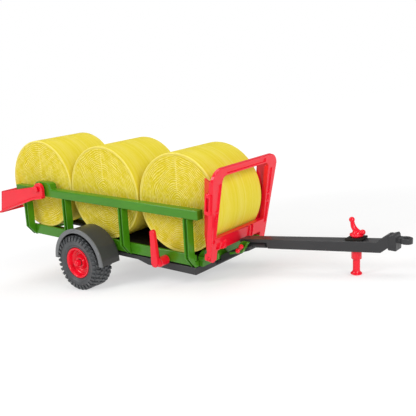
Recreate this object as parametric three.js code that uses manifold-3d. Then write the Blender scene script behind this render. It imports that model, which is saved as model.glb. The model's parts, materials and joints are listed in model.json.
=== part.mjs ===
// Toy round-bale transport trailer: tipped nose-down on its two wheels and its parking jack.
// Everything is drawn in the bed frame (x forward, y left, z square to the bed, origin at the
// middle bale's centre, mm) and only at the end turned and dropped onto the floor.
import * as THREE from "three";
import * as BufferGeometryUtils from "three/addons/utils/BufferGeometryUtils.js";
import ManifoldModule from "manifold-3d";

// ---- driving dimensions, mm ----
const GAP = 0.3;
const BALE_R = 45, BALE_L = 65, BALE_EDGE = 3.2, BALE_X = [-90.6, 0, 92.4];
const RAIL_X = [-118.5, 123.5], RAIL_OUT = 44, RAIL_IN = 36, RAIL_TOP = -0.5, RAIL_BOT = -8.7;
const SILL_OUT = 35.9, SILL_IN = 33, SILL_TOP = -43.4, SILL_BOT = -53.5;
const RIB_X = [-106.4, -45.6, 32.1, 109.7], RIB_W = 5.3, RIB_BOT = -54.5, RIB_SEAT = -49;
const RIB_KNEE_Z = -44.5, RIB_KNEE_Y = 35.6, RIB_RECESS = 2.6;
const FLOOR_TOP = -45.4, FLOOR_BOT = -48.6;
const FRAME_TOP = -54.8, FRAME_X = [-40, 112.4], FRAME_OUT = 36;
const AXLE = { x: -12.5, z: -63.8 }, WHEEL_Y = 52, TYRE_R = 27, TYRE_W = 22, RIM_R = 15;
const FENDER_R = 31.9, FENDER_T = 2.2, FENDER_Y = [38.4, 62.5];
const GATE_PIVOT = { x: -79.2, z: -1.2 }, GATE_OUT = 48.6, GATE_IN = 45.2;
const HEAD_LEAN = Math.atan(0.158), HEAD_BASE = { x: 134.1, z: -40 }, HEAD_DEPTH = 4.5;
const HEAD_TOP = 77.2, HEAD_FLARE = 0.095, HEAD_FOOT_Y = 41.3, LEVER = { x: 79, z: -52 };
const BAR_W = 12, BAR_H = 8, BAR_SLOPE = Math.atan(0.128), BAR_AT = { x: 200, z: -28.5 };
const JACK_X = 246.3, LEG_R = 2.85, SLEEVE_R = 4.1, FOOT_R = 4.6, FOOT_BOT = -46.7;
const EYE = { x: 286.2, z: -13.4, r: 4.7, hole: 2.4, h: 4.2 };

// ---- colours ----
const GREEN = [0x4f9a34, 0.42, 0], RED = [0xd81227, 0.38, 0], GREY = [0x3f4144, 0.5, 0];
const BLACK = [0x202123, 0.6, 0], RUBBER = [0x44484a, 0.8, 0], STRAW = [0xdcc745, 0.6, 0];
const LIP = [0x55595d, 0.45, 0];

const wasm = await ManifoldModule();
wasm.setup();

// ---- small kit: geometry <-> solid ----
function solid(geometry) {
  const g = geometry.clone();
  g.deleteAttribute("normal");
  g.deleteAttribute("uv");
  const m = BufferGeometryUtils.mergeVertices(g, 1e-5);
  return new wasm.Manifold(new wasm.Mesh({
    numProp: 3,
    vertProperties: Float32Array.from(m.attributes.position.array),
    triVerts: Uint32Array.from(m.index.array),
  }));
}

function surface(body) {
  const m = body.getMesh();
  const g = new THREE.BufferGeometry();
  g.setAttribute("position", new THREE.BufferAttribute(Float32Array.from(m.vertProperties), 3));
  g.setIndex(new THREE.BufferAttribute(Uint32Array.from(m.triVerts), 1));
  return g;
}

const joined = (bodies) => bodies.reduce((a, b) => a.add(b));
const cut = (body, tools) => tools.reduce((a, b) => a.subtract(b), body);

// box from its two corners
function box(x0, x1, y0, y1, z0, z1) {
  const g = new THREE.BoxGeometry(x1 - x0, y1 - y0, z1 - z0);
  g.translate((x0 + x1) / 2, (y0 + y1) / 2, (z0 + z1) / 2);
  return solid(g);
}

// cylinder of radius r along an axis, between two stations on it
function rod(axis, r, a, b, u, v, sides = 24, r2 = r) {
  const g = new THREE.CylinderGeometry(r2, r, b - a, sides);
  const mid = (a + b) / 2;
  if (axis === "y") g.translate(u, mid, v);
  if (axis === "x") { g.rotateZ(-Math.PI / 2); g.translate(mid, u, v); }
  if (axis === "z") { g.rotateX(Math.PI / 2); g.translate(u, v, mid); }
  return solid(g);
}

function ball(r, x, y, z) {
  const g = new THREE.SphereGeometry(r, 14, 10);
  g.translate(x, y, z);
  return solid(g);
}

// outline in (x, z), pulled through y0..y1
function slabXZ(points, y0, y1) {
  const shape = new THREE.Shape(points.map(([x, z]) => new THREE.Vector2(x, z)));
  const g = new THREE.ExtrudeGeometry(shape, { depth: y1 - y0, bevelEnabled: false });
  g.rotateX(Math.PI / 2);
  g.translate(0, y1, 0);
  return solid(g);
}

// outline in (y, z), pulled through x0..x1
function slabYZ(points, x0, x1, holes = []) {
  const shape = new THREE.Shape(points.map(([y, z]) => new THREE.Vector2(y, z)));
  for (const hole of holes) shape.holes.push(new THREE.Path(hole.map(([y, z]) => new THREE.Vector2(y, z))));
  const g = new THREE.ExtrudeGeometry(shape, { depth: x1 - x0, bevelEnabled: false });
  g.applyMatrix4(new THREE.Matrix4().set(0, 0, 1, x0, 1, 0, 0, 0, 0, 1, 0, 0, 0, 0, 0, 1));
  return solid(g);
}

// closed (radius, y) section revolved about the y axis
function turned(section, x, y, z, sides = 48) {
  const g = new THREE.LatheGeometry(section.map(([r, h]) => new THREE.Vector2(r, h)), sides);
  g.translate(x, y, z);
  return solid(g);
}

const mirrored = (body) => body.mirror([0, 1, 0]);

function arc(cx, cz, r, a0, a1, steps) {
  return Array.from({ length: steps + 1 }, (_, i) => {
    const a = THREE.MathUtils.degToRad(a0 + ((a1 - a0) * i) / steps);
    return [cx + r * Math.cos(a), cz + r * Math.sin(a)];
  });
}

// tube of radius r along a smooth run of points
function tube(points, r, sides = 12, steps = 18) {
  const path = new THREE.CatmullRomCurve3(points.map((p) => new THREE.Vector3(...p)));
  const ring = new THREE.Shape(arc(0, 0, r, 0, 360 - 360 / sides, sides - 1)
    .map(([a, b]) => new THREE.Vector2(a, b)));
  return solid(new THREE.ExtrudeGeometry(ring, { steps, extrudePath: path, bevelEnabled: false }));
}

const pieces = [];
function piece(name, body, [colour, roughness, metalness]) {
  pieces.push({ name, body, colour, roughness, metalness });
}
function pair(name, body, look) {
  piece(`${name}_right`, body, look);
  piece(`${name}_left`, mirrored(body), look);
}

// ---- bales: short rounded drums lying across the trailer ----
function bale(x) {
  const r = BALE_R, h = BALE_L / 2, e = BALE_EDGE;
  const edge = [0, 22.5, 45, 67.5, 90].map((d) => {
    const a = THREE.MathUtils.degToRad(d);
    return [r - e + e * Math.cos(a), h - e + e * Math.sin(a)];
  });
  const section = [[0, -h + 0.8], [r - 12, -h + 0.8], ...edge.map(([a, b]) => [a, -b]).reverse(),
    ...edge, [r - 12, h - 0.8], [0, h - 0.8]];
  return turned(section, x, 0, 0, 56);
}
BALE_X.forEach((x, i) => piece(`bale_${i + 1}`, bale(x), STRAW));

// ---- green cradle ----
const gateHump = slabXZ([[-88, RAIL_TOP - 0.01], [-87, 3.5], [-83, 5.8], [-68, 5.8], [-64.5, 4.4],
  [-63, RAIL_TOP - 0.01]], -RAIL_OUT, -RAIL_IN);
const topRail = box(RAIL_X[0], RAIL_X[1], -RAIL_OUT, -RAIL_IN, RAIL_BOT, RAIL_TOP).add(gateHump)
  .subtract(rod("y", 2.5, -RAIL_OUT - 1, -RAIL_IN + 1, GATE_PIVOT.x, GATE_PIVOT.z));
pair("top_rail", topRail, GREEN);

const sillNotches = RIB_X.map((x) => box(x - RIB_W / 2 - GAP, x + RIB_W / 2 + GAP,
  -SILL_OUT - 1, -SILL_IN + 1, SILL_BOT - 1, RIB_SEAT + GAP));
pair("sill_rail", cut(box(-111.5, 112.4, -SILL_OUT, -SILL_IN, SILL_BOT, SILL_TOP), sillNotches), GREEN);

function ribOutline(inset) {
  const o = RAIL_OUT - inset, k = RIB_KNEE_Y - inset * 0.5, b = RIB_BOT + inset;
  const i = SILL_OUT + GAP, t = RAIL_BOT - GAP;
  return [[-o, t], [-o, RIB_KNEE_Z + inset * 0.2], [-k, b], [k, b], [o, RIB_KNEE_Z + inset * 0.2], [o, t],
    [i, t], [i, RIB_SEAT], [-i, RIB_SEAT], [-i, t]];
}
RIB_X.forEach((x, i) => {
  const a = x - RIB_W / 2, b = x + RIB_W / 2;
  piece(`rib_${i + 1}`, joined([slabYZ(ribOutline(0), a, a + 1.2), slabYZ(ribOutline(0), b - 1.2, b),
    slabYZ(ribOutline(RIB_RECESS), a + 0.6, b - 0.6)]), GREEN);
});

piece("bed_floor", cut(box(-109, 112, -32.7, 32.7, FLOOR_BOT, FLOOR_TOP),
  [box(-95, -54, -24, -6, -60, -40), box(-95, -54, 6, 24, -60, -40)]), BLACK);

const panel = slabXZ([[112.7, -54.5], [116.2, -54.5], [119.4, -38.6], [117.2, -38.6], [112.7, -43.4]], -31, 31);
const lug = slabXZ([[112.7, -48.6], [118, -48.2], [134, -44.2], [134.4, -39.2], [129, -39.2],
  [118, -44.6], [112.7, -44.6]], -32.4, -29.8);
const pinBore = rod("y", 1.7, -46, -28, HEAD_BASE.x - 2.6, HEAD_BASE.z - 1.6, 16);
piece("front_panel", joined([panel, lug, mirrored(lug)])
  .subtract(pinBore).subtract(mirrored(pinBore)), GREEN);

function strut() {
  const run = [[129, -47.6], [137.5, -45.4], [143.6, -43.4], [150.5, -33], [143.5, -33], [136.4, -43.4],
    [129, -45.4]];
  const lipFront = [[142.1, -43.9], [143.6, -43.4], [150.5, -33], [149, -33]];
  const lipRear = [[136.4, -43.4], [137.9, -44.9], [145, -33], [143.5, -33]];
  return joined([slabXZ(run, -8.2, -6.9), slabXZ(lipFront, -10.4, -6.9), slabXZ(lipRear, -10.4, -6.9)]);
}
pair("front_strut", strut(), GREEN);

// ---- dark grey chassis ----
const sideBeam = slabXZ([[FRAME_X[0], FRAME_TOP], [FRAME_X[0], -58.3], [43, -58.3], [56, -61.4],
  [FRAME_X[1], -61.4], [FRAME_X[1], FRAME_TOP]], -FRAME_OUT, -28);
const cross = (a, b, low) => box(a, b, -29, 29, low, FRAME_TOP);
piece("chassis_frame", joined([sideBeam, mirrored(sideBeam), cross(-40, -30, -58.3), cross(-18, -3, -58.3),
  cross(38, 48, -58.3), cross(72, 80, -58.3), cross(104.4, FRAME_X[1], -61.4),
  box(-39, 112, -8, 8, -58.3, FRAME_TOP)]), GREY);

piece("axle", joined([box(AXLE.x - 6, AXLE.x + 6, -33, 33, AXLE.z - 5, -58.6),
  rod("y", 3, -61.2, 61.2, AXLE.x, AXLE.z, 24)]), GREY);

function fender() {
  const [y0, y1] = [-FENDER_Y[1], -FENDER_Y[0]], c = [AXLE.x + 2, AXLE.z + 1.4];
  const band = (ro, ri, a, b) => slabXZ([...arc(...c, ro, 0, 180, 32), ...arc(...c, ri, 180, 0, 32)], a, b);
  const shell = band(FENDER_R, FENDER_R - FENDER_T, y0, y1);
  const lip = band(FENDER_R + 0.6, FENDER_R - FENDER_T - 1.3, y0, y0 + 1.8);
  const wall = band(FENDER_R - 1, 22, y1 - 1.6, y1);
  const tabs = [-24, 15].map((dx) => box(c[0] + dx, c[0] + dx + 9, y1 - 1, -FRAME_OUT - GAP, -61.5, -55.2));
  return joined([shell, lip, wall, ...tabs]);
}
pair("fender", fender(), LIP);

// drawbar: a box beam in its own sloped frame, measured along and across itself
function alongBar(body) {
  return body.rotate([0, THREE.MathUtils.radToDeg(-BAR_SLOPE), 0]).translate([BAR_AT.x, 0, BAR_AT.z]);
}
const barHalf = BAR_H / 2, barWide = BAR_W / 2;
const barBody = slabXZ([[-61, 1.1], [-33.4, 1.1], [-33.4, -barHalf], [68.4, -barHalf - 0.6], [74.2, -1],
  [75.6, -1], [75.6, 8.8], [73, 8.6], [66, barHalf], [-61, barHalf]], -barWide, barWide);
const eyeRing = rod("z", EYE.r, EYE.z - EYE.h / 2, EYE.z + EYE.h / 2, EYE.x, 0, 28);
const eyeHole = rod("z", EYE.hole, EYE.z - 8, EYE.z + 8, EYE.x, 0, 24);
const jackBore = rod("z", SLEEVE_R + GAP, -50, 0, JACK_X, 0, 28);
const headTop = box(276, 284.5, -3.2, 3.2, EYE.z - EYE.h / 2, EYE.z + EYE.h / 2);
const headBlock = slabXZ([[274, -21.5], [280.4, -21.5], [280.4, -15.6], [279.6, -10.2], [278.6, -8.7],
  [274, -10.4]], -5.3, 5.3);
piece("drawbar", cut(joined([alongBar(barBody), headBlock, headTop, eyeRing]), [eyeHole, jackBore]), GREY);

const tongue = slabXZ([[112.7, -55.2], [112.7, -60], [135, -47.6], [142, -44], [149, -41.4],
  [149, -37.8], [141.5, -38.8], [128, -45], [117, -50.9], [117, -55.2]], -6, 6);
const tongueTube = alongBar(rod("x", 2.9, -60, -37.6, 0, -2.2, 20));
piece("tongue", tongue.add(tongueTube), GREY);
piece("tongue_pin", alongBar(rod("z", 1.7, -5, 0.8, -35.4, 0, 16)), GREY);

// ---- wheels ----
const w = TYRE_W / 2;
const tyre = [[RIM_R + GAP, -w + 2.4], [RIM_R + 1.6, -w + 0.9], [TYRE_R - 7, -w], [TYRE_R - 2.6, -w + 1.2],
  [TYRE_R - 0.3, -w + 3.6], [TYRE_R, -w + 6], [TYRE_R, w - 6], [TYRE_R - 0.3, w - 3.6], [TYRE_R - 2.6, w - 1.2],
  [TYRE_R - 7, w], [RIM_R + 1.6, w - 0.9], [RIM_R + GAP, w - 2.4], [RIM_R + GAP, -w + 2.4]];
const rim = [[3.3, -7.4], [5.4, -7.4], [5.4, -3.6], [9.4, -3.4], [10.6, -4.6], [12.6, -5.2], [13.2, -9.9],
  [RIM_R, -9.9], [RIM_R, 9.6], [13.4, 9.6], [12.4, -1.2], [3.3, -1.2], [3.3, -7.4]];
piece("tyre_right", turned(tyre, AXLE.x, -WHEEL_Y, AXLE.z, 56), RUBBER);
piece("tyre_left", turned(tyre, AXLE.x, WHEEL_Y, AXLE.z, 56), RUBBER);
pair("rim", turned(rim, AXLE.x, -WHEEL_Y, AXLE.z, 40), RED);
const cap = [[0, -3.2], [2.2, -3.0], [3.6, -2.0], [4.2, 0], [0, 0], [0, -3.2]];
pair("hub_cap", turned(cap, AXLE.x, -WHEEL_Y - 9.6, AXLE.z, 20)
  .add(rod("y", 2.4, -WHEEL_Y - 9.7, -WHEEL_Y - 9.5, AXLE.x, AXLE.z, 16)), RED);

// ---- rear gate: two arms, a cross plate and a bottom lip ----
function gateArm() {
  const p = GATE_PIVOT;
  const plate = slabXZ([[-71.3, -9.4], ...arc(p.x + 1.6, p.z + 0.3, 6.3, 0, 150, 9), [-85.5, 0.6],
    [-138.2, -9.2], [-142.2, -30.6], [-87.5, -12]], -GATE_OUT, -GATE_IN);
  const lip = slabXZ([[-71.3, -9.9], [-87.5, -12.9], [-142.6, -32.1], [-142, -29.6], [-87.5, -10.4],
    [-71.3, -7.7]], -GATE_OUT - 1.2, -GATE_IN - 0.4);
  return plate.add(lip).subtract(rod("y", 2.5, -52, -40, p.x, p.z, 20));
}
const crossPlate = slabXZ([[-137.2, -9.4], [-141.4, -31.4], [-144, -31.4], [-139.6, -8.8]], -GATE_OUT + 0.3,
  GATE_OUT - 0.3);
const crossLip = slabXZ([[-141.2, -32.6], [-146, -33.4], [-146.4, -31.4], [-141, -30.2]], -GATE_OUT - 0.9,
  GATE_OUT + 0.9);
piece("rear_gate", joined([gateArm(), mirrored(gateArm()), crossPlate, crossLip]), RED);
pair("gate_pin", joined([rod("y", 2.15, -49.6, -37, GATE_PIVOT.x, GATE_PIVOT.z, 20),
  rod("y", 3, -50.6, -49.1, GATE_PIVOT.x, GATE_PIVOT.z, 20)]), RED);

// ---- headboard: a leaning ring frame, drawn upright in (y, z) and then leaned forward ----
function leaned(body) {
  return body.rotate([0, THREE.MathUtils.radToDeg(HEAD_LEAN), 0]).translate([HEAD_BASE.x, 0, HEAD_BASE.z]);
}
const headEdge = (z) => HEAD_FOOT_Y + HEAD_FLARE * z;
const bothSides = (half) => [...half, ...half.map(([y, z]) => [-y, z]).reverse()];
function ring() {
  const outer = bothSides([[headEdge(-4.2), -4.2], [headEdge(HEAD_TOP - 12), HEAD_TOP - 12],
    ...arc(headEdge(HEAD_TOP) - 12.6, HEAD_TOP - 12, 12, 12, 90, 7)]);
  const open = bothSides([[36.2, 15.6], ...arc(29.3, 65, 5, 0, 90, 5)]);
  const foot = box(-HEAD_DEPTH - 1, 1, -32.7, 32.7, -8, 4);
  const topBack = box(-HEAD_DEPTH - 1, -3, -60, 60, 66, 80);
  const topGroove = box(-1.2, 1, -29, 29, 71.6, 75);
  const postGrooves = [[12, 31.6], [33, 38.7], [40.1, 64]].map(([low, high]) => {
    const inner = (z) => 37.6 - 0.03 * z, outside = (z) => 40.5 + 0.01 * z;
    return slabYZ([[inner(low), low], [outside(low), low], [outside(high), high], [inner(high), high]], -1.2, 1);
  });
  const pocket = box(-1.8, 1, -35.5, -29.8, 5.2, 10.8);
  return cut(slabYZ(outer, -HEAD_DEPTH, 0, [open]),
    [foot, topBack, topGroove, pocket, ...postGrooves, ...postGrooves.map(mirrored)]);
}
// thin side plate from the ring's outer edge, rearwards and inwards
function wing() {
  const edge = [[-1, headEdge(2), 2], [-1, headEdge(66), 66.5], [-15, 39.6, 66], [-11.4, 37.9, 16], [-7, 38.9, 3]];
  return wasm.Manifold.hull([...edge, ...edge.map(([x, y, z]) => [x, y - 1.8, z])]);
}
const leg = slabYZ([[-41, -3.6], [-41, 1], [-32.7, 1], [-32.7, -3.2], [-34, -5], [-36, -5.8], [-38.2, -5.8],
  [-40.2, -5]], -7, 0);
const loop = slabYZ([[-42.4, 38], [-46.9, 38], [-48.4, 56], [-43.6, 56]], -7, -1.4)
  .subtract(slabYZ([[-44.4, 41], [-52, 41], [-52, 53], [-45.8, 53]], -5.6, -2.8));
const clip = slabYZ([[-27.2, 4.3], [-21.6, 4.3], [-22.2, 11.6], [-23.2, 11.6]], -1, 1.5);
const ribsOnBar = [13.2, 18.2].map((y) => box(-2, 1.3, y - 0.8, y + 0.8, 4.2, 15));
piece("headboard", leaned(joined([ring(), wing(), mirrored(wing()), leg, mirrored(leg), loop, mirrored(loop),
  clip, ...ribsOnBar])).subtract(pinBore).subtract(mirrored(pinBore)), RED);
pair("headboard_pin", rod("y", 1.4, -41.2, -28.6, HEAD_BASE.x - 2.6, HEAD_BASE.z - 1.6, 16), RED);

// ---- small red controls ----
piece("front_latch", joined([rod("y", 1.3, -13, -8.6, 143, -39, 12), ball(2.1, 145.2, -13, -36.4),
  ball(2.1, 141.4, -13, -40.8), tube([[145.2, -13, -36.4], [143.2, -13, -38.8], [141.4, -13, -40.8]], 1.3, 10, 4)]),
RED);

const leverBar = slabXZ([...arc(LEVER.x - 2, LEVER.z - 0.3, 4, 180, 360, 10),
  ...arc(LEVER.x - 3, -24.4, 2.6, 0, 180, 8)], -50.4, -46.6);
piece("side_lever", leverBar.add(rod("y", 4.35, -46.8, -36.3, LEVER.x, LEVER.z, 28)), RED);

piece("jack_plate", cut(alongBar(box(39.8, 54.2, -5.7, 5.7, barHalf + GAP, barHalf + 2.2)), [jackBore]), BLACK);
piece("jack_sleeve", rod("z", SLEEVE_R, -34, -17.4, JACK_X, 0, 28)
  .subtract(rod("z", LEG_R + GAP, -40, -10, JACK_X, 0, 28)), RED);
piece("jack_leg", joined([rod("z", LEG_R, FOOT_BOT + 2, -18.6, JACK_X, 0, 28),
  rod("z", FOOT_R, FOOT_BOT, FOOT_BOT + 1.3, JACK_X, 0, 32),
  rod("z", FOOT_R, FOOT_BOT + 1.29, FOOT_BOT + 3, JACK_X, 0, 32, LEG_R)]), RED);
piece("jack_crank", joined([rod("z", 5.5, -15.4, -13.4, JACK_X, 0, 32), rod("z", 3.4, -13.5, -11.6, JACK_X, 0, 24),
  tube([[251.2, 0, -11.6], [248.4, 0, -11.8], [245.4, 0, -10.6], [243.4, 0, -7.6], [242.3, 0, -3.2]], 1.75, 12, 14),
  ball(2.3, 251.4, 0, -11.5), ball(2.3, 242.2, 0, -3)]), RED);

// ---- set on the floor: both tyres and the front edge of the jack foot touch z = 0 ----
const toe = { x: JACK_X + FOOT_R - AXLE.x, z: FOOT_BOT - AXLE.z };
const PITCH = Math.atan2(toe.z, toe.x) + Math.asin(TYRE_R / Math.hypot(toe.x, toe.z));

const trailer = new THREE.Group();
trailer.name = "bale_trailer";
const turn = new THREE.Matrix4().makeRotationY(PITCH);
for (const p of pieces) {
  const geometry = surface(p.body).applyMatrix4(turn);
  const material = new THREE.MeshStandardMaterial({
    color: p.colour, roughness: p.roughness, metalness: p.metalness,
  });
  const mesh = new THREE.Mesh(geometry, material);
  mesh.name = p.name;
  trailer.add(mesh);
}
const bounds = new THREE.Box3().setFromObject(trailer);
for (const mesh of trailer.children) {
  mesh.geometry.translate(-(bounds.min.x + bounds.max.x) / 2, 0, -bounds.min.z);
}

export default trailer;
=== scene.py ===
"""Looks for a toy round-bale trailer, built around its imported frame.

Lengths in this file are millimetres square to the trailer's bed: x forward to the hitch, y to the left,
z away from the bed floor, from the middle bale's centre. BED turns them into the frame's metres.
"""

import json
import math

import bmesh
import bpy
import numpy as np
from bpy.props import FloatProperty, FloatVectorProperty, IntProperty, PointerProperty
from mathutils import Matrix, Vector

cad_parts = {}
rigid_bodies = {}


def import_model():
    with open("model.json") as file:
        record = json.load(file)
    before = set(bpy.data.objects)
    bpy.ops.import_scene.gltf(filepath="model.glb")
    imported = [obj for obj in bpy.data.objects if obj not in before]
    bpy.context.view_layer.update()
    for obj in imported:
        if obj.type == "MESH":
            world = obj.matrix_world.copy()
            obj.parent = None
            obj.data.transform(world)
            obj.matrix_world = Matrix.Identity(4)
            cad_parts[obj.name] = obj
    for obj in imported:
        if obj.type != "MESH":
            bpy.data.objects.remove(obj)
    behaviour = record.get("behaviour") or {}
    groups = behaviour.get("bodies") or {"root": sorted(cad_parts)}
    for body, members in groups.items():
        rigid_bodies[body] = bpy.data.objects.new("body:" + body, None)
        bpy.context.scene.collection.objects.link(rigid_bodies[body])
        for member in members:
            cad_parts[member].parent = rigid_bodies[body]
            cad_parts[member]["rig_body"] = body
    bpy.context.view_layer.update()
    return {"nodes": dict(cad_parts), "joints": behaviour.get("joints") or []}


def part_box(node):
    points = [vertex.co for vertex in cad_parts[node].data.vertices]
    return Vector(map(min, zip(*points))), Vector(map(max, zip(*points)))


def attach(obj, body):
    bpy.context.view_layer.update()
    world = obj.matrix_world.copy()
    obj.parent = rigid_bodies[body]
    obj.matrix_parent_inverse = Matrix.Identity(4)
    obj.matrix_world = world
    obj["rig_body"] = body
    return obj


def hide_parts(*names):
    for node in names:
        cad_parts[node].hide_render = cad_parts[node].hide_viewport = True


bl_info = {
    "name": "Toy bale trailer",
    "version": (1, 0, 0),
    "blender": (4, 5, 0),
    "location": "View3D > Sidebar > Bale trailer",
    "description": "Finishes a toy round-bale trailer around its packed frame",
    "category": "Add Mesh",
}

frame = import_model()
MM = 0.001  # metres
OUTWARD = {"right": -1, "left": 1}
SIDES = tuple(OUTWARD)

# ---- places, all worked out from the frame ----
JOINTS = {joint["name"]: joint for joint in frame["joints"]}
LIFT = Vector(JOINTS["bale_2_lift"]["axis"])
AHEAD = Vector((0, 1, 0)).cross(LIFT)


def middle(node):
    """Centre of a node's box, in the frame's metres."""
    low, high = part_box(node)
    return (low + high) / 2


BED = (
    Matrix.Translation(middle("bale_2"))
    @ Matrix(((AHEAD.x, 0, LIFT.x), (0, 1, 0), (AHEAD.z, 0, LIFT.z))).to_4x4()
    @ Matrix.Scale(MM, 4)
)


def on_bed(point):
    """A point of the frame, in millimetres square to the bed."""
    return BED.inverted() @ Vector(point)


def span(node):
    """Lowest and highest corner of a node, in millimetres square to the bed."""
    spots = np.array([on_bed(v.co) for v in frame["nodes"][node].data.vertices])
    return Vector(spots.min(0)), Vector(spots.max(0))


def pivot(joint):
    """A hinge's place, in millimetres square to the bed."""
    return on_bed(JOINTS[joint]["pos_m"])


# ---- meshes ----
def mesh_object(name, bm):
    """A new object from a bmesh drawn square to the bed; its place goes into its mesh."""
    mesh = bpy.data.meshes.new(name)
    bm.to_mesh(mesh)
    bm.free()
    mesh.transform(BED)
    made = bpy.data.objects.new(name, mesh)
    bpy.context.scene.collection.objects.link(made)
    return made


def smooth(made, angle=35.0):
    """Smooth shading, with edges sharper than the angle kept crisp."""
    made.data.shade_smooth()
    made.data.set_sharp_from_angle(angle=math.radians(angle))
    return made


def softened(made, width):
    """Rounds the edges by width millimetres, as a moulding tool leaves them."""
    bevel = made.modifiers.new("Rounded edges", "BEVEL")
    bevel.width = width * MM
    bevel.segments = 2
    bevel.limit_method = "ANGLE"
    bevel.angle_limit = math.radians(34)
    bevel.use_clamp_overlap = False
    bevel.miter_outer = "MITER_ARC"
    weighted = made.modifiers.new("Flat faces stay flat", "WEIGHTED_NORMAL")
    weighted.keep_sharp = True


def finished(made, body, finish, stands_for=()):
    """Gives a piece its material and hands it to the frame."""
    made.data.materials.clear()
    made.data.materials.append(finish)
    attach(made, body)
    if stands_for:
        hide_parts(*stands_for)
    return made


def moulding(node, finish, width=0.35):
    """A copy of a frame node with its triangles joined and its edges rounded, shown in the node's place."""
    bm = bmesh.new()
    bm.from_mesh(frame["nodes"][node].data)
    bmesh.ops.remove_doubles(bm, verts=bm.verts, dist=2e-6)
    bmesh.ops.join_triangles(bm, faces=bm.faces, angle_face_threshold=math.radians(0.8),
                             angle_shape_threshold=math.pi)
    bm.transform(BED.inverted())
    made = smooth(mesh_object(f"{node}_moulding", bm))
    if width > 0:
        softened(made, width)
    return finished(made, frame["nodes"][node]["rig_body"], finish, [node])


def from_grid(rows):
    """A bmesh from rows of points: every row is a closed loop, and the two end rows may shrink to a pole."""
    bm = bmesh.new()
    loops = [[bm.verts.new(point) for point in row] for row in rows]
    for lower, upper in zip(loops, loops[1:]):
        count = max(len(lower), len(upper))
        for i in range(count):
            a, b = lower[i % len(lower)], lower[(i + 1) % len(lower)]
            c, d = upper[(i + 1) % len(upper)], upper[i % len(upper)]
            bm.faces.new([v for k, v in enumerate((a, b, c, d)) if v not in (a, b, c, d)[:k]])
    return bm


def turned(section, centre, steps, upright=False):
    """A section of (radius, height) points turned round a line through a centre, along y or upright."""
    rows = []
    for radius, height in section:
        turns = 1 if radius < 1e-6 else steps
        angles = [math.tau * i / turns for i in range(turns)]
        arms = [(radius * math.cos(a), radius * math.sin(a)) for a in angles]
        rows.append([Vector(centre) + Vector((u, v, height) if upright else (u, height, v)) for u, v in arms])
    bm = from_grid(rows)
    bmesh.ops.recalc_face_normals(bm, faces=bm.faces)
    return bm


def rounded_run(points, steps):
    """Evenly stepped points of a smooth curve through the given ones."""
    points = np.array(points, float)
    padded = np.vstack([2 * points[0] - points[1], points, 2 * points[-1] - points[-2]])
    run = []
    for a, b, c, d in zip(padded, padded[1:], padded[2:], padded[3:]):
        for t in np.linspace(0, 1, steps, endpoint=False):
            run.append(0.5 * (2 * b + (c - a) * t + (2 * a - 5 * b + 4 * c - d) * t**2
                              + (3 * b - a - 3 * c + d) * t**3))
    return np.array(run + [points[-1]])


def swept(points, radii, steps=8, sides=28):
    """A round arm along a smooth curve in an upright plane, its radius changing from point to point."""
    run = rounded_run([(*p, r) for p, r in zip(points, radii)], steps)
    path, widths = run[:, :3], run[:, 3]
    heading = np.gradient(path, axis=0)
    heading /= np.linalg.norm(heading, axis=1)[:, None]
    across = np.array((0.0, 1.0, 0.0))
    rows = [[tuple(path[0])]]
    for spot, width, way in zip(path, widths, heading):
        lifted = np.cross(way, across)
        rows.append([tuple(spot + width * (across * math.cos(a) + lifted * math.sin(a)))
                     for a in np.linspace(0, math.tau, sides, endpoint=False)])
    bm = from_grid([*rows, [tuple(path[-1])]])
    bmesh.ops.recalc_face_normals(bm, faces=bm.faces)
    return bm


def knob(radius, centre):
    """A ball."""
    angles = np.linspace(-math.pi / 2, math.pi / 2, 19)
    section = [(max(0.0, radius * math.cos(a)), radius * math.sin(a)) for a in angles]
    section[0], section[-1] = (0, -radius), (0, radius)
    return turned(section, centre, 36, upright=True)


def together(parts):
    """One bmesh from several."""
    whole = bmesh.new()
    for part in parts:
        piece = bpy.data.meshes.new("part")
        part.to_mesh(piece)
        part.free()
        whole.from_mesh(piece)
        bpy.data.meshes.remove(piece)
    return whole


# ---- geometry nodes ----
def new_tree(name, inputs):
    """An empty geometry tree whose group inputs are (name, socket type, default)."""
    tree = bpy.data.node_groups.new(name, "GeometryNodeTree")
    for label, kind, default in inputs:
        socket = tree.interface.new_socket(label, in_out="INPUT", socket_type=kind)
        if default is not None:
            socket.default_value = default
    tree.interface.new_socket("Geometry", in_out="OUTPUT", socket_type="NodeSocketGeometry")
    return tree, tree.nodes.new("NodeGroupInput"), tree.nodes.new("NodeGroupOutput")


def grown(made, tree, values):
    """Runs a geometry tree on an object and keeps the result as its plain mesh."""
    run = made.modifiers.new(tree.name, "NODES")
    run.node_group = tree
    sockets = {item.name: item.identifier for item in tree.interface.items_tree if item.in_out == "INPUT"}
    for label, value in values.items():
        run[sockets[label]] = value
    bpy.context.view_layer.update()
    result = made.evaluated_get(bpy.context.evaluated_depsgraph_get())
    plain = bpy.data.meshes.new_from_object(result)
    made.modifiers.remove(run)
    made.data = plain
    return made


# ---- node helpers ----
def add(tree, kind, values=(), **settings):
    """A node with its settings, its inputs given as values or as sockets to link."""
    node = tree.nodes.new(kind)
    for key, value in settings.items():
        setattr(node, key, value)
    for socket, value in dict(values).items():
        if isinstance(value, bpy.types.NodeSocket):
            tree.links.new(value, node.inputs[socket])
        else:
            node.inputs[socket].default_value = value
    return node


def blank_finish(name, roughness, specular=0.5):
    """A new material and its node tree, with the shader's plain numbers set."""
    finish = bpy.data.materials.new(name)
    finish.use_nodes = True
    tree = finish.node_tree
    shader = tree.nodes["Principled BSDF"]
    shader.inputs["Roughness"].default_value = roughness
    shader.inputs["Specular IOR Level"].default_value = specular
    return finish, tree, shader


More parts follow.
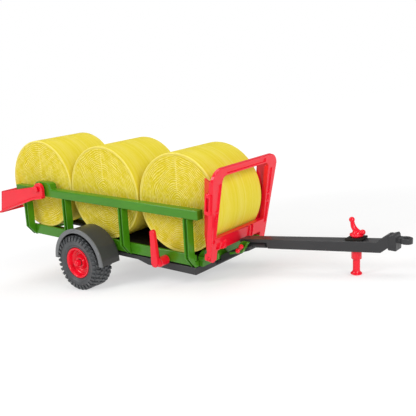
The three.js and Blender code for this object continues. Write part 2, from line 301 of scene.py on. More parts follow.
def ramp(tree, factor, stops):
    """A colour ramp from (place, colour) stops."""
    node = add(tree, "ShaderNodeValToRGB", {"Fac": factor})
    while len(node.color_ramp.elements) < len(stops):
        node.color_ramp.elements.new(0.5)
    for element, (place, colour) in zip(node.color_ramp.elements, stops):
        element.position = place
        element.color = (*colour, 1)
    return node.outputs["Color"]


def shade(colour, factor):
    """A colour made lighter or darker."""
    return tuple(min(1.0, c * factor) for c in colour)


def object_place(tree):
    """A point's place on its own object, in metres."""
    return add(tree, "ShaderNodeTexCoord").outputs["Object"]


def noise(tree, spot, scale, detail, roughness=0.5):
    """Smooth noise from 0 to 1."""
    made = add(tree, "ShaderNodeTexNoise", {"Vector": spot, "Scale": scale, "Detail": detail,
                                            "Roughness": roughness})
    return made.outputs["Fac"]


def bumped(tree, shader, height, strength, depth):
    """Gives a shader bumps of a depth in millimetres."""
    bump = add(tree, "ShaderNodeBump", {"Height": height, "Strength": strength, "Distance": depth * MM})
    tree.links.new(bump.outputs[0], shader.inputs["Normal"])


def moulded_plastic(name, colour, roughness, grain=0.02, coat=0.0, drift_share=0.10, lip_highlight_tone=None,
                    lip_from=0.0):
    """Moulded plastic: slow tone drift, faint flow marks, a fine grain and uneven gloss. A lip highlight tone
    paints a lighter lit face on what lies further than lip_from millimetres to either side of the middle."""
    finish, tree, shader = blank_finish(name, roughness, 0.15)
    spot = object_place(tree)
    drift = noise(tree, spot, 26.0, 3.0)
    flow_map = add(tree, "ShaderNodeMapping", {"Vector": spot, "Scale": (90.0, 300.0, 420.0)})
    flow = noise(tree, flow_map.outputs[0], 1.0, 4.0)
    mixed = add(tree, "ShaderNodeMath", {0: drift, 1: flow}, operation="ADD")
    halved = add(tree, "ShaderNodeMath", {0: mixed.outputs[0], 1: 0.5}, operation="MULTIPLY")
    tone = ramp(tree, halved.outputs[0], [(0.30, shade(colour, 1 - drift_share)), (0.5, colour),
                                          (0.72, shade(colour, 1 + drift_share))])
    if lip_highlight_tone:
        place = add(tree, "ShaderNodeSeparateXYZ", {0: spot})
        off_centre = add(tree, "ShaderNodeMath", {0: place.outputs["Y"]}, operation="ABSOLUTE")
        lip = add(tree, "ShaderNodeMapRange", {"Value": off_centre.outputs[0], "From Min": lip_from * MM,
                                               "From Max": (lip_from + 0.4) * MM})
        blend = add(tree, "ShaderNodeMix", {"Factor": lip.outputs[0], 6: tone, 7: (*lip_highlight_tone, 1)},
                    data_type="RGBA")
        tone = blend.outputs[2]
    tree.links.new(tone, shader.inputs["Base Color"])
    gloss = add(tree, "ShaderNodeMapRange", {"Value": flow, "From Min": 0.3, "From Max": 0.7,
                                             "To Min": roughness * 0.85, "To Max": roughness * 1.2})
    tree.links.new(gloss.outputs[0], shader.inputs["Roughness"])
    bumped(tree, shader, noise(tree, spot, 1400.0, 2.0), 0.5, grain)
    shader.inputs["Coat Weight"].default_value = coat
    shader.inputs["Coat Roughness"].default_value = 0.09
    return finish


def straw_plastic(name, colour):
    """Straw-yellow plastic: ridge tops painted pale as highlight, grooves painted ochre as shade, fine
    streaks that follow the winding.
    """
    finish, tree, shader = blank_finish(name, 0.6, 0.10)
    relief = add(tree, "ShaderNodeAttribute", attribute_name="relief").outputs["Fac"]
    strand = add(tree, "ShaderNodeAttribute", attribute_name="strand").outputs["Vector"]
    streaks = noise(tree, strand, 2.2, 5.0, 0.65)
    soft = add(tree, "ShaderNodeMath", {0: streaks, 1: 0.5}, operation="SUBTRACT")
    height = add(tree, "ShaderNodeMath", {0: soft.outputs[0], 1: 0.55, 2: relief}, operation="MULTIPLY_ADD")
    # The groove tone is painted shade in the hollows and the crest tone is a painted highlight on the ridge
    # tops.
    groove_shade = (colour[0] * 0.78, colour[1] * 0.70, colour[2] * 0.25)
    crest_highlight = (min(1, colour[0] * 1.12), min(1, colour[1] * 1.16), min(1, colour[2] * 5.5))
    tone = ramp(tree, height.outputs[0], [(0.05, groove_shade), (0.46, colour), (0.92, crest_highlight)])
    tree.links.new(tone, shader.inputs["Base Color"])
    bumped(tree, shader, streaks, 0.6, 0.12)
    return finish


def soft_rubber(name, colour):
    """Tyre compound: matt, a little dusty in soft random patches."""
    finish, tree, shader = blank_finish(name, 0.42, 0.5)
    spot = object_place(tree)
    dust = noise(tree, spot, 120.0, 6.0, 0.7)
    tone = ramp(tree, dust, [(0.3, shade(colour, 0.7)), (0.55, colour), (0.8, shade(colour, 1.5))])
    tree.links.new(tone, shader.inputs["Base Color"])
    bumped(tree, shader, noise(tree, spot, 1800.0, 3.0), 0.6, 0.05)
    return finish


def paper_floor(name, tone):
    """The pale floor: near-white paper that runs out into the white room before its edge."""
    finish, tree, shader = blank_finish(name, 0.9, 0.0)
    spot = object_place(tree)
    colour = ramp(tree, noise(tree, spot, 6.0, 2.0), [(0.3, (tone,) * 3), (0.7, (min(1, tone * 1.01),) * 3)])
    tree.links.new(colour, shader.inputs["Base Color"])
    away = add(tree, "ShaderNodeVectorMath", {0: spot}, operation="LENGTH")
    fade = add(tree, "ShaderNodeMapRange", {"Value": away.outputs["Value"], "From Min": 0.26,
                                            "From Max": 0.55, "To Min": 0.5}, interpolation_type="SMOOTHSTEP")
    glow = add(tree, "ShaderNodeEmission", {"Color": (1, 1, 1, 1), "Strength": 1.06})
    both = add(tree, "ShaderNodeMixShader", {0: fade.outputs[0], 1: shader.outputs[0], 2: glow.outputs[0]})
    tree.links.new(both.outputs[0], tree.nodes["Material Output"].inputs["Surface"])
    return finish


# ---- what a user may change ----
def tint(name, description, default):
    return FloatVectorProperty(name=name, description=description, subtype="COLOR", size=3, min=0, max=1,
                               default=default)


def length(name, description, default, low=0.0, high=60.0):
    return FloatProperty(name=name, description=description, default=default, min=low, max=high)


class StrawSettings(bpy.types.PropertyGroup):
    colour: tint("Straw", "Colour of the bale's wound straw", (0.74, 0.61, 0.036))
    pitch: length("Ridge pitch", "Distance between wound ridges on a bale's end, mm", 1.75, 0.5, 5)
    relief: length("Ridge height", "Height of the ridges on a bale's end, mm", 0.55, 0, 1.5)
    rings: IntProperty(name="Rings", description="Loops of points from a bale's centre to its rim",
                       default=112, min=16, max=200)
    turns: IntProperty(name="Steps round", description="Points round a bale", default=264, min=48, max=400)
    seed: IntProperty(name="Seed", description="Fixes the winding's irregularities", default=5)


class CradleSettings(bpy.types.PropertyGroup):
    green: tint("Green", "Leaf-green moulded plastic", (0.052, 0.225, 0.005))
    # The floor plate's near-black is painted shade for the shade under the bales. The jack plate shares this
    # material.
    black: tint("Floor black", "Black of the floor plate", (0.012, 0.010, 0.008))
    edge: length("Edge radius", "Rounding of the rails' edges, mm", 0.55, 0.05, 1.5)


class ChassisSettings(bpy.types.PropertyGroup):
    grey: tint("Chassis grey", "Dark grey plastic of the chassis and drawbar", (0.038, 0.038, 0.040))
    guard: tint("Mudguard grey", "Grey of the mudguards", (0.050, 0.050, 0.048))
    # The lip's lighter grey is a painted highlight: the mudguards' outer faces are painted as lit.
    lip: tint("Lip grey", "Lighter grey of the mudguards' outer lip", (0.16, 0.165, 0.17))


class WheelSettings(bpy.types.PropertyGroup):
    rubber: tint("Tyre", "Soft dark grey tyre compound", (0.062, 0.066, 0.070))
    lugs: IntProperty(name="Lugs", description="Lugs in one row round a tyre", default=34, min=8, max=80)
    lug_height: length("Lug height", "How far the lugs stand out of the tyre, mm", 1.35, 0.2, 4)


class RedSettings(bpy.types.PropertyGroup):
    red: tint("Red", "Gloss red moulded plastic", (0.82, 0.004, 0.022))
    edge: length("Edge radius", "Rounding of the red pieces' edges, mm", 0.35, 0.05, 1.2)


class StageSettings(bpy.types.PropertyGroup):
    floor: FloatProperty(name="Floor", description="Brightness of the floor", default=0.93, min=0, max=1)
    key: FloatProperty(name="Key light", description="Power of the large soft light, watts",
                       default=7.5, min=0)
    ambient: FloatProperty(name="Ambient", description="Brightness of the white surroundings", default=0.30,
                           min=0)


class TrailerSettings(bpy.types.PropertyGroup):
    straw: PointerProperty(type=StrawSettings, name="Straw", description="The bales")
    cradle: PointerProperty(type=CradleSettings, name="Cradle", description="The green cradle")
    chassis: PointerProperty(type=ChassisSettings, name="Chassis", description="The dark grey pieces")
    wheels: PointerProperty(type=WheelSettings, name="Wheels", description="Tyres and rims")
    red: PointerProperty(type=RedSettings, name="Red", description="The red pieces")
    stage: PointerProperty(type=StageSettings, name="Stage", description="Floor and light")


def settings():
    return bpy.context.scene.bale_trailer


# ---- bales ----
END_DEPTH = 0.7  # from the rim's outermost line in to the wound end
RIM_WIDTH = 2.5  # the plain rim round the wound end
BEAD = 1.05  # radius of the rim's rolled edge
BARREL_ROWS = 132
WRAP_PITCH = 1.15  # between the wrap lines on the barrel
STREAKS_FROM, STREAKS_APART = 200, 40  # where each end's streaks lie in the noise, clear of the barrel's


def ripples(seed, count, longest, shortest):
    """A smooth random field over the bale's end: a fixed sum of waves of many lengths and directions."""
    chance = np.random.default_rng(seed)
    lengths = np.geomspace(longest, shortest, count)
    turns, shifts = chance.uniform(0, math.tau, count), chance.uniform(0, math.tau, count)

    def field(x, z):
        waves = [np.sin(math.tau * (x * math.cos(t) + z * math.sin(t)) / w + s)
                 for w, t, s in zip(lengths, turns, shifts)]
        return sum(waves) / math.sqrt(count / 2)
    return field


def wound_end(x, z, seed, pitch):
    """Relief from 0 to 1 of straw wound in a loose spiral, with a parting above the middle."""
    r, around = np.hypot(x, z), np.arctan2(z, x)
    sway = ripples(seed, 9, 60, 12)
    broken = ripples(seed + 1, 12, 20, 3.0)
    fray = ripples(seed + 2, 10, 9, 2.4)
    parting = np.exp(-np.abs(x) / 7) * np.clip(z / 12, 0, 1)
    phase = math.tau * (r / pitch + 0.34 * sway(x, z) - 0.85 * parting) + around
    strands = (0.5 + 0.5 * np.cos(phase + 0.35 * fray(x, z))) ** 1.2
    strength = np.clip(0.74 + 0.20 * broken(x, z), 0.25, 1.0)
    seam = 0.55 * np.exp(-(x / 0.55) ** 2) * np.clip((z - 8) / 6, 0, 1) * np.clip((40 - z) / 4, 0, 1)
    return np.clip(strands * strength + seam, 0, 1)


def bale_profile(rings, stations, radius, half):
    """(radius, y, kind) from one end's middle, over the rim bead and the barrel, to the other end's middle.
    kind is 0 on an end and 1 on the barrel."""
    face = half - END_DEPTH
    end = [(r, -face) for r in np.linspace(0, radius - RIM_WIDTH, rings)]
    end += [(radius - 2.2, -face + 0.25), (radius - 1.9, -face + 0.05), (radius - 1.7, -half + 0.2),
            (radius - 1.35, -half), (radius - BEAD * 0.9, -half)]
    end += [(radius - BEAD + BEAD * math.sin(a), -half + BEAD - BEAD * math.cos(a)) for a in (0.5, 0.9, 1.3)]
    inner = half - BEAD - 0.1
    barrel = [(radius, y) for y in np.linspace(-inner, inner, stations)]
    rim = [(r, y, 0) for r, y in end]
    return rim + [(r, y, 1) for r, y in barrel] + [(r, -y, 0) for r, y in reversed(end)]


def straw_bale(number):
    """One round bale: a displaced drum whose ends carry wound ridges and whose barrel carries wrap lines."""
    s = settings().straw
    node = f"bale_{number}"
    low, high = span(node)
    centre, radius, half = (low + high) / 2, (high.z - low.z) / 2, (high.y - low.y) / 2
    profile = np.array(bale_profile(s.rings, BARREL_ROWS, radius, half))
    angles = np.linspace(-math.pi / 2, 1.5 * math.pi, s.turns, endpoint=False)
    r, y = profile[1:-1, 0][:, None], profile[1:-1, 1][:, None]
    barrel = profile[1:-1, 2][:, None] > 0.5
    x, z = r * np.cos(angles), r * np.sin(angles)
    near = y < 0
    ends = [wound_end(x, z, s.seed + 10 * number + extra, s.pitch) for extra in (0, 4)]
    wound = np.where(near, *ends)
    face = (~barrel) & (r < radius - RIM_WIDTH - 0.05)
    fade = np.clip(r / 3.0, 0, 1) * np.clip((radius - 2.3 - r) / 0.8, 0, 1)
    wander = 0.5 * np.sin(3 * angles + number) + 0.35 * np.sin(7 * angles + 2 * number)
    wrap = 0.5 + 0.5 * np.sin(math.tau * (y / WRAP_PITCH) + wander + 1.3 * np.sin(y / 2.7))
    y = y + np.where(face, np.where(near, -1.0, 1.0) * (wound - 0.45) * s.relief * fade, 0)
    reach = r + np.where(barrel, (wrap - 0.5) * 0.11, 0)
    spots = np.stack([centre.x + reach * np.cos(angles), centre.y + y + 0 * x,
                      centre.z + reach * np.sin(angles)], -1)
    bands = ripples(s.seed + 3, 9, 11, 2.2)(y, 0 * y)
    # relief sets the painted light in the straw's colour: ridge and wrap-line tops are painted lighter as
    # highlight, grooves darker as shade, and the rim bead leans to the highlight tone.
    relief = np.where(face, 0.12 + 1.0 * wound, np.where(barrel, 0.46 + 0.10 * wrap + 0.045 * bands, 0.74))
    near_pole = (centre.x, centre.y - half + END_DEPTH, centre.z)
    far_pole = (centre.x, centre.y + half - END_DEPTH, centre.z)
    made = smooth(mesh_object(f"{node}_straw", from_grid([[near_pole], *spots.tolist(), [far_pole]])), 50)
    values = np.concatenate([[0.6], relief.ravel(), [0.6]])
    made.data.attributes.new("relief", "FLOAT", "POINT").data.foreach_set("value", values.astype(np.float32))
    along = np.where(face, r + STREAKS_FROM + np.where(near, 0, STREAKS_APART), y * 1.5)
    round_about = np.where(face, 5.0, 2.6)
    strand = np.stack([round_about * np.cos(angles), round_about * np.sin(angles), along + 0 * x], -1)
    strand = np.concatenate([[[0, 0, STREAKS_FROM]], strand.reshape(-1, 3),
                             [[0, 0, STREAKS_FROM + STREAKS_APART]]])
    made.data.attributes.new("strand", "FLOAT_VECTOR", "POINT").data.foreach_set(
        "vector", strand.astype(np.float32).ravel())
    return finished(made, node, bpy.data.materials["wound_straw"], [node])


class TRAILER_OT_bales(bpy.types.Operator):
    """Builds the three wound straw bales"""
    bl_idname = "trailer.bales"
    bl_label = "Bales"

    def execute(self, context):
        straw_plastic("wound_straw", settings().straw.colour)
        for number in (1, 2, 3):
            straw_bale(number)
        return {"FINISHED"}


# ---- cradle ----
class TRAILER_OT_cradle(bpy.types.Operator):
    """Finishes the green rails, ribs, panel and struts and the floor plate, coloured near-black as painted
    shade
    """
    bl_idname = "trailer.cradle"
    bl_label = "Cradle"

    def execute(self, context):
        s = settings().cradle
        green = moulded_plastic("cradle_green", s.green, 0.36, grain=0.01, coat=0.45, drift_share=0.12)
        # The floor plate's near-black stands for the shade that falls under the bales.
        black = moulded_plastic("floor_black_and_shade", s.black, 0.55)
        for side in SIDES:
            moulding(f"top_rail_{side}", green, s.edge)
            moulding(f"sill_rail_{side}", green, s.edge * 0.8)
            moulding(f"front_strut_{side}", green, 0.25)
        for number in (1, 2, 3, 4):
            moulding(f"rib_{number}", green, 0.3)
        moulding("front_panel", green, 0.4)
        moulding("bed_floor", black, 0.4)
        return {"FINISHED"}


# ---- chassis ----
class TRAILER_OT_chassis(bpy.types.Operator):
    """Finishes the dark grey frame, axle, mudguards and drawbar"""
    bl_idname = "trailer.chassis"
    bl_label = "Chassis"

    def execute(self, context):
        s = settings().chassis
        grey = moulded_plastic("chassis_grey", s.grey, 0.42, coat=0.25)
        # Each mudguard's outer lip is painted a lighter grey as highlight.
        lip_from = span("fender_left")[1].y - 2.0
        guard = moulded_plastic("mudguard_grey", s.guard, 0.4, coat=0.3, lip_highlight_tone=s.lip, lip_from=lip_from)
        for node in ("chassis_frame", "axle", "drawbar", "tongue", "tongue_pin"):
            moulding(node, grey, 0.35)
        for side in SIDES:
            moulding(f"fender_{side}", guard, 0.35)
        return {"FINISHED"}


# ---- wheels ----
def tyre_section(half, inner, carcass):
    """The tyre's closed section: bead, smooth bulging sidewall, shoulder and flat tread base."""
    wall = [(inner, -half + 2.6), (inner + 0.5, -half + 1.5), (inner + 1.6, -half + 0.9),
            (inner + 2.6, -half + 1.15), (inner + 3.1, -half + 0.75), (inner + 5.0, -half + 0.1),
            (inner + 6.6, -half), (inner + 8.0, -half + 0.7), (carcass - 0.9, -half + 2.0),
            (carcass, -half + 3.6)]
    return wall + [(r, -y) for r, y in reversed(wall)] + [wall[0]]


LUG_ROW = (
    ("Count", "NodeSocketInt", 34),
    ("Radius", "NodeSocketFloat", 0.025),
    ("Across", "NodeSocketFloat", 0.0),
    ("Phase", "NodeSocketFloat", 0.0),
    ("Skew", "NodeSocketFloat", 0.0),
    ("Lean", "NodeSocketFloat", 0.0),
    ("Long", "NodeSocketFloat", 0.003),
    ("Wide", "NodeSocketFloat", 0.005),
    ("High", "NodeSocketFloat", 0.002),
)
TREAD = (
    ("Carcass", "NodeSocketGeometry", None),
    ("Lugs", "NodeSocketInt", 34),
    ("Radius", "NodeSocketFloat", 0.025),
    ("Half width", "NodeSocketFloat", 0.011),
    ("Lug height", "NodeSocketFloat", 0.0017),
    ("Centre", "NodeSocketVector", (0, 0, 0)),
    ("Rubber", "NodeSocketMaterial", None),
)
SHOULDER_INSET, WALL_INSET, CROWN_OFFSET = 3.9, 0.75, 2.6  # of a lug row, from the tyre's side or its middle
NARROWING = (-0.30, -0.20, 0)  # a lug's top against its foot, along and across
CHAMFER_RISE = 0.30  # of a lug's whole height, from its middle up to where its chamfer starts
HAIR = 0.0001  # metres; tells a lug's middle ring from its top and its foot
RIM_GAP = 0.15  # between a rim and its tyre


def lug_row_tree():
    """One ring of tapered lugs standing on a circle round the z axis."""
    tree, given, out = new_tree("Lug row", LUG_ROW)
    size = add(tree, "ShaderNodeCombineXYZ", {"X": given.outputs["Long"], "Y": given.outputs["Wide"],
                                              "Z": given.outputs["High"]})
    cube = add(tree, "GeometryNodeMeshCube", {"Size": size.outputs[0], "Vertices Z": 3})
    spot = add(tree, "GeometryNodeInputPosition")
    parts = add(tree, "ShaderNodeSeparateXYZ", {0: spot.outputs[0]})
    top = add(tree, "FunctionNodeCompare", {0: parts.outputs["Z"], 1: HAIR}, operation="GREATER_THAN")
    low = add(tree, "FunctionNodeCompare", {0: parts.outputs["Z"], 1: -HAIR}, operation="GREATER_THAN")
    shrunk = add(tree, "ShaderNodeVectorMath", {0: spot.outputs[0], 1: NARROWING}, operation="MULTIPLY")
    tapered = add(tree, "GeometryNodeSetPosition", {"Geometry": cube.outputs["Mesh"],
                                                    "Selection": top.outputs[0], "Offset": shrunk.outputs[0]})
    step = add(tree, "ShaderNodeMath", {0: given.outputs["High"], 1: CHAMFER_RISE},
               operation="MULTIPLY")
    rise = add(tree, "ShaderNodeCombineXYZ", {"Z": step.outputs[0]})
    middle_ring = add(tree, "FunctionNodeBooleanMath", {0: low.outputs[0], 1: top.outputs[0]},
                      operation="NIMPLY")
    chamfered = add(tree, "GeometryNodeSetPosition", {
        "Geometry": tapered.outputs[0], "Offset": rise.outputs[0], "Selection": middle_ring.outputs[0]})
    circle = add(tree, "GeometryNodeMeshCircle", {"Vertices": given.outputs["Count"],
                                                  "Radius": given.outputs["Radius"]})
    outward = add(tree, "FunctionNodeAlignRotationToVector", {"Vector": spot.outputs[0]}, axis="Z")
    level = add(tree, "FunctionNodeAlignRotationToVector",
                {"Rotation": outward.outputs[0], "Vector": (0, 0, 1)}, axis="Y", pivot_axis="Z")
    twist = add(tree, "ShaderNodeCombineXYZ", {"X": given.outputs["Lean"], "Z": given.outputs["Skew"]})
    aimed = add(tree, "FunctionNodeRotateRotation",
                {"Rotation": level.outputs[0], "Rotate By": twist.outputs[0]}, rotation_space="LOCAL")
    placed = add(tree, "GeometryNodeInstanceOnPoints", {
        "Points": circle.outputs[0], "Instance": chamfered.outputs[0], "Rotation": aimed.outputs[0]})
    spin = add(tree, "ShaderNodeCombineXYZ", {"Z": given.outputs["Phase"]})
    shift = add(tree, "ShaderNodeCombineXYZ", {"Z": given.outputs["Across"]})
    moved = add(tree, "GeometryNodeTransform", {"Geometry": placed.outputs[0], "Rotation": spin.outputs[0],
                                                "Translation": shift.outputs[0]})
    tree.links.new(moved.outputs[0], out.inputs[0])
    return tree


def tread_tree(lug_row):
    """A tyre's tread: crown blocks, shoulder lugs and the cleats that run down each sidewall."""
    tree, given, out = new_tree("Tread", TREAD)

    def reckoned(operation, *terms):
        """The result of one sum, its terms given as values or sockets."""
        return add(tree, "ShaderNodeMath", dict(enumerate(terms)), operation=operation).outputs[0]

    pitch = reckoned("DIVIDE", math.tau, given.outputs["Lugs"])
    joined = add(tree, "GeometryNodeJoinGeometry")
    for side in (1, -1):
        shoulder = reckoned("MULTIPLY_ADD", given.outputs["Half width"], side, -SHOULDER_INSET * side * MM)
        wall = reckoned("MULTIPLY_ADD", given.outputs["Half width"], side, -WALL_INSET * side * MM)
        # Each row's change of radius and place across in metres, share of a pitch it is turned by, skew and
        # lean in radians, and its lugs' width and length in millimetres: crown, shoulder, sidewall.
        rows = (
            (0.0, CROWN_OFFSET * side * MM, 0.5 + 0.2 * side, -0.35 * side, 0.0, 2.7, 4.2),
            (0.0, shoulder, 0.25 * side, 0.25 * side, 0.0, 2.5, 5.6),
            (-2.1 * MM, wall, 0.25 * side, 0.0, -1.25 * side, 2.2, 4.2),
        )
        for change, across, phase, skew, lean, width, length_across in rows:
            row = add(tree, "GeometryNodeGroup", node_tree=lug_row)
            tree.links.new(given.outputs["Lugs"], row.inputs["Count"])
            tree.links.new(reckoned("ADD", given.outputs["Radius"], change), row.inputs["Radius"])
            tree.links.new(reckoned("MULTIPLY", given.outputs["Lug height"], 2.0), row.inputs["High"])
            tree.links.new(reckoned("MULTIPLY", pitch, phase), row.inputs["Phase"])
            if isinstance(across, float):
                row.inputs["Across"].default_value = across
            else:
                tree.links.new(across, row.inputs["Across"])
            row.inputs["Skew"].default_value = skew
            row.inputs["Lean"].default_value = lean
            row.inputs["Long"].default_value = width * MM
            row.inputs["Wide"].default_value = length_across * MM
            tree.links.new(row.outputs[0], joined.inputs[0])
    turned_round = add(tree, "GeometryNodeTransform", {
        "Geometry": joined.outputs[0], "Rotation": (-math.pi / 2, 0, 0),
        "Translation": given.outputs["Centre"]})
    whole = add(tree, "GeometryNodeJoinGeometry")
    tree.links.new(turned_round.outputs[0], whole.inputs[0])
    tree.links.new(given.outputs["Carcass"], whole.inputs[0])
    real = add(tree, "GeometryNodeRealizeInstances", {0: whole.outputs[0]})
    coated = add(tree, "GeometryNodeSetMaterial", {"Geometry": real.outputs[0],
                                                   "Material": given.outputs["Rubber"]})
    tree.links.new(coated.outputs[0], out.inputs[0])
    return tree


def tyre(side, tread):
    """A tyre: smooth carcass with rows of chunky blocks on its shoulders and crown."""
    s = settings().wheels
    centre = pivot(f"wheel_{side}_spin")
    low, high = span(f"tyre_{side}")
    outer, half = (high.z - low.z) / 2, (high.y - low.y) / 2
    rim_low, rim_high = span(f"rim_{side}")
    inner = (rim_high.z - rim_low.z) / 2 + RIM_GAP
    carcass = outer - s.lug_height
    rubber = bpy.data.materials["tyre_rubber"]
    made = mesh_object(f"tyre_{side}_treaded", turned(tyre_section(half, inner, carcass), centre, 120))
    grown(made, tread, {
        "Lugs": s.lugs, "Radius": carcass * MM, "Half width": half * MM, "Lug height": s.lug_height * MM,
        "Centre": BED @ centre, "Rubber": rubber})
    return finished(smooth(made, 30), f"wheel_{side}", rubber, [f"tyre_{side}"])


def rim(side):
    """A deep-dished wheel rim: hub wall, hub edge, cone, dish floor, two stepped rings, lip and back."""
    centre = pivot(f"wheel_{side}_spin")
    low, high = span(f"rim_{side}")
    radius, out = (high.z - low.z) / 2, OUTWARD[side]
    back, face = sorted(abs(y - centre.y) for y in (low.y, high.y))
    dish = [(3.4, -back + 2), (3.4, face - 3.2),
            (4.2, face - 2.9), (5.2, face - 3.2),
            (6.0, face - 4.6), (7.2, face - 6.4),
            (8.3, face - 6.7), (8.9, face - 6.5), (9.3, face - 6.0),
            (10.2, face - 5.9), (10.6, face - 5.4), (11.2, face - 4.6),
            (11.9, face - 4.4), (12.2, face - 3.6), (12.9, face - 0.9),
            (13.4, face - 0.2), (13.9, face), (14.5, face), (radius, face - 0.5),
            (radius, -back + 0.2), (13.4, -back), (12.2, -back + 3), (3.4, -back + 2)]
    bm = turned([(r, out * y) for r, y in dish], centre, 96)
    made = smooth(mesh_object(f"rim_{side}_dish", bm), 40)
    return finished(made, f"wheel_{side}", bpy.data.materials["gloss_red"], [f"rim_{side}"])


def hub_cap(side):
    """The domed cap pressed over the axle's end."""
    centre = pivot(f"wheel_{side}_spin")
    low, high = span(f"hub_cap_{side}")
    out = OUTWARD[side]
    tip = max(abs(low.y - centre.y), abs(high.y - centre.y))
    cap = [(0, tip - 5.4), (3.1, tip - 5.4), (3.1, tip - 1.6), (2.8, tip - 0.9), (2.3, tip - 0.6),
           (2.1, tip - 0.75), (1.2, tip - 0.3), (0.5, tip - 0.06), (0, tip)]
    bm = turned([(r, out * y) for r, y in cap], centre, 48)
    made = smooth(mesh_object(f"hub_cap_{side}_dome", bm), 40)
    return finished(made, f"wheel_{side}", bpy.data.materials["gloss_red"], [f"hub_cap_{side}"])


class TRAILER_OT_wheels(bpy.types.Operator):
    """Builds the treaded tyres, dished rims and hub caps"""
    bl_idname = "trailer.wheels"
    bl_label = "Wheels"

    def execute(self, context):
        soft_rubber("tyre_rubber", settings().wheels.rubber)
        tread = tread_tree(lug_row_tree())
        for side in SIDES:
            tyre(side, tread)
            rim(side)
            hub_cap(side)
        return {"FINISHED"}


# ---- red pieces ----
LEG_RADIUS = 2.85
# The crank's bent arm and the knobs at its ends, ahead of the jack's axis and above the crank's foot.
CRANK_ARM = ((4.7, 3.4), (2.3, 3.0), (-0.7, 4.4), (-2.9, 7.4), (-3.9, 11.8))
CRANK_ARM_RADII = (1.7, 1.95, 2.2, 2.0, 1.5)
CRANK_KNOBS = ((5.0, 3.4), (-4.1, 12.4))
KNOB_RADIUS = 2.25


def jack_pieces(red):
    """The parking jack's sleeve, leg with its domed foot, and crank: a disc, a bent arm and two knobs."""
    low, high = span("jack_leg")
    x, foot, leg = (low.x + high.x) / 2, low.z, LEG_RADIUS
    pad = (high.x - low.x) / 2
    stem = [(0, foot), (pad - 0.7, foot), (pad - 0.15, foot + 0.25), (pad, foot + 0.7),
            (pad - 0.2, foot + 1.15), (pad - 0.8, foot + 1.6), (leg + 0.35, foot + 2.4), (leg, foot + 3.6),
            (leg, high.z - 0.3), (0, high.z)]
    made = smooth(mesh_object("jack_leg_turned", turned(stem, (x, 0, 0), 64, upright=True)), 50)
    finished(made, "jack_leg", red, ["jack_leg"])
    low, high = span("jack_sleeve")
    wide, bore = (high.x - low.x) / 2, leg + 0.3
    sleeve = [(bore, low.z + 0.3), (bore + 0.3, low.z), (wide - 0.4, low.z), (wide, low.z + 0.4),
              (wide, high.z - 0.3), (wide - 0.3, high.z), (bore, high.z), (bore, low.z + 0.3)]
    made = smooth(mesh_object("jack_sleeve_turned", turned(sleeve, (x, 0, 0), 64, upright=True)), 50)
    finished(made, frame["nodes"]["jack_sleeve"]["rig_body"], red, ["jack_sleeve"])
    base = span("jack_crank")[0].z
    disc = [(0, base), (4.9, base), (5.35, base + 0.35), (5.5, base + 1.0), (5.3, base + 1.6),
            (4.6, base + 1.95), (3.7, base + 2.2), (3.4, base + 3.0), (3.0, base + 3.7), (2.2, base + 4.1),
            (0, base + 4.3)]
    arm, knobs = ([(x + ahead, 0, base + above) for ahead, above in points]
                  for points in (CRANK_ARM, CRANK_KNOBS))
    crank = together([turned(disc, (x, 0, 0), 64, upright=True), swept(arm, CRANK_ARM_RADII),
                      *(knob(KNOB_RADIUS, centre) for centre in knobs)])
    finished(smooth(mesh_object("jack_crank_turned", crank), 50), "jack_crank", red, ["jack_crank"])


class TRAILER_OT_red(bpy.types.Operator):
    """Finishes the gate, headboard, latch, lever and jack"""
    bl_idname = "trailer.red"
    bl_label = "Red pieces"

    def execute(self, context):
        s = settings().red
        red = moulded_plastic("gloss_red", s.red, 0.34, grain=0.008, coat=0.55, drift_share=0.05)
        black = bpy.data.materials["floor_black_and_shade"]
        for node in ("rear_gate", "headboard"):
            moulding(node, red, s.edge)
        moulding("side_lever", red, 0.6)
        moulding("front_latch", red, 0)
        for side in SIDES:
            moulding(f"gate_pin_{side}", red, 0.3)
            moulding(f"headboard_pin_{side}", red, 0.2)
        # The jack plate reuses the floor's near-black material.
        moulding("jack_plate", black, 0.4)
        jack_pieces(red)
        return {"FINISHED"}


# ---- stage ----
CAMERA_FROM = (467.7, -464.7, 138.8)
CAMERA_AT = (100.7, 0.0, -10.3)
CAMERA_UP = (-0.1136, 0.2210, 0.9686)
CAMERA_LENS = 58.45
FLOOR_REACH = 6.0
# Name, place and target in metres, width in metres, share of the key light's power.
LIGHTS = (
    ("key", (-0.55, -0.95, 0.85), (0, 0, 0.05), 0.6, 1.0),
    ("front", (1.15, -0.55, 0.50), (0, 0, 0.06), 0.6, 1.3),
    ("top", (-0.1, 0.10, 1.1), (0, 0, 0), 0.9, 0.72),
)


def camera():
    """A camera a little above and ahead of the trailer's near side, level with the bed."""
    data = bpy.data.cameras.new("camera")
    data.lens, data.sensor_width, data.clip_start = CAMERA_LENS, 36.0, 0.01
    made = bpy.data.objects.new("camera", data)
    bpy.context.scene.collection.objects.link(made)
    eye, target = BED @ Vector(CAMERA_FROM), BED @ Vector(CAMERA_AT)
    back = (eye - target).normalized()
    right = (BED.to_3x3() @ Vector(CAMERA_UP)).normalized().cross(back).normalized()
    up = back.cross(right)
    made.matrix_world = Matrix.Translation(eye) @ Matrix((right, up, back)).transposed().to_4x4()
    bpy.context.scene.camera = made


def soft_box(name, place, target, size, power):
    """A square area light aimed at a point; metres."""
    data = bpy.data.lights.new(name, "AREA")
    data.size, data.energy = size, power
    made = bpy.data.objects.new(name, data)
    bpy.context.scene.collection.objects.link(made)
    made.location = place
    made.rotation_mode = "QUATERNION"
    made.rotation_quaternion = (Vector(target) - Vector(place)).to_track_quat("-Z", "Y")


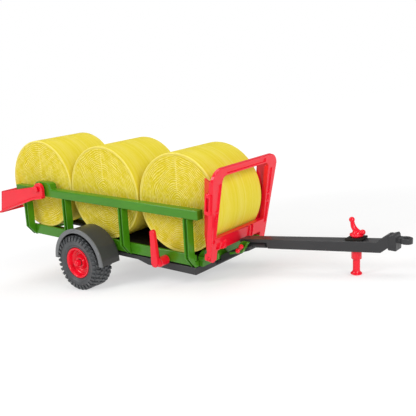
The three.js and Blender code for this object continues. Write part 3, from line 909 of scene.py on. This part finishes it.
class TRAILER_OT_stage(bpy.types.Operator):
    """Sets out the floor, the lights and the camera"""
    bl_idname = "trailer.stage"
    bl_label = "Stage"

    def execute(self, context):
        s = settings().stage
        bm = bmesh.new()
        bmesh.ops.create_grid(bm, x_segments=1, y_segments=1, size=FLOOR_REACH)
        mesh = bpy.data.meshes.new("floor")
        bm.to_mesh(mesh)
        bm.free()
        floor = bpy.data.objects.new("floor", mesh)
        bpy.context.scene.collection.objects.link(floor)
        floor.data.materials.append(paper_floor("floor_paper", s.floor))
        for name, place, target, width, share in LIGHTS:
            soft_box(name, place, target, width, s.key * share)
        world = bpy.data.worlds.new("white_room")
        world.use_nodes = True
        tree = world.node_tree
        seen = add(tree, "ShaderNodeLightPath").outputs["Is Camera Ray"]
        strength = add(tree, "ShaderNodeMapRange", {"Value": seen, "To Min": s.ambient, "To Max": 1.0})
        tree.nodes["Background"].inputs["Color"].default_value = (1, 1, 1, 1)
        tree.links.new(strength.outputs[0], tree.nodes["Background"].inputs["Strength"])
        context.scene.world = world
        context.scene.view_settings.view_transform = "Standard"
        camera()
        return {"FINISHED"}


class TRAILER_PT_panel(bpy.types.Panel):
    """Lists the trailer's pieces and their sizes"""
    bl_idname = "TRAILER_PT_panel"
    bl_label = "Bale trailer"
    bl_space_type = "VIEW_3D"
    bl_region_type = "UI"
    bl_category = "Bale trailer"

    def draw(self, context):
        for operator, group in BUILD_ORDER:
            box = self.layout.box()
            box.operator(operator)
            part = getattr(context.scene.bale_trailer, group)
            for name in part.__annotations__:
                box.prop(part, name)


BUILD_ORDER = (
    ("trailer.bales", "straw"),
    ("trailer.cradle", "cradle"),
    ("trailer.chassis", "chassis"),
    ("trailer.red", "red"),
    ("trailer.wheels", "wheels"),
    ("trailer.stage", "stage"),
)
CLASSES = (
    StrawSettings, CradleSettings, ChassisSettings, WheelSettings, RedSettings, StageSettings,
    TrailerSettings, TRAILER_OT_bales, TRAILER_OT_cradle, TRAILER_OT_chassis, TRAILER_OT_red,
    TRAILER_OT_wheels, TRAILER_OT_stage, TRAILER_PT_panel,
)


def register():
    for kind in CLASSES:
        bpy.utils.register_class(kind)
    bpy.types.Scene.bale_trailer = PointerProperty(type=TrailerSettings, description="Sizes and colours")


def unregister():
    del bpy.types.Scene.bale_trailer
    for kind in reversed(CLASSES):
        bpy.utils.unregister_class(kind)


def main():
    register()
    for operator, _ in BUILD_ORDER:
        group, name = operator.split(".")
        getattr(getattr(bpy.ops, group), name)()


if __name__ == "__main__":
    main()
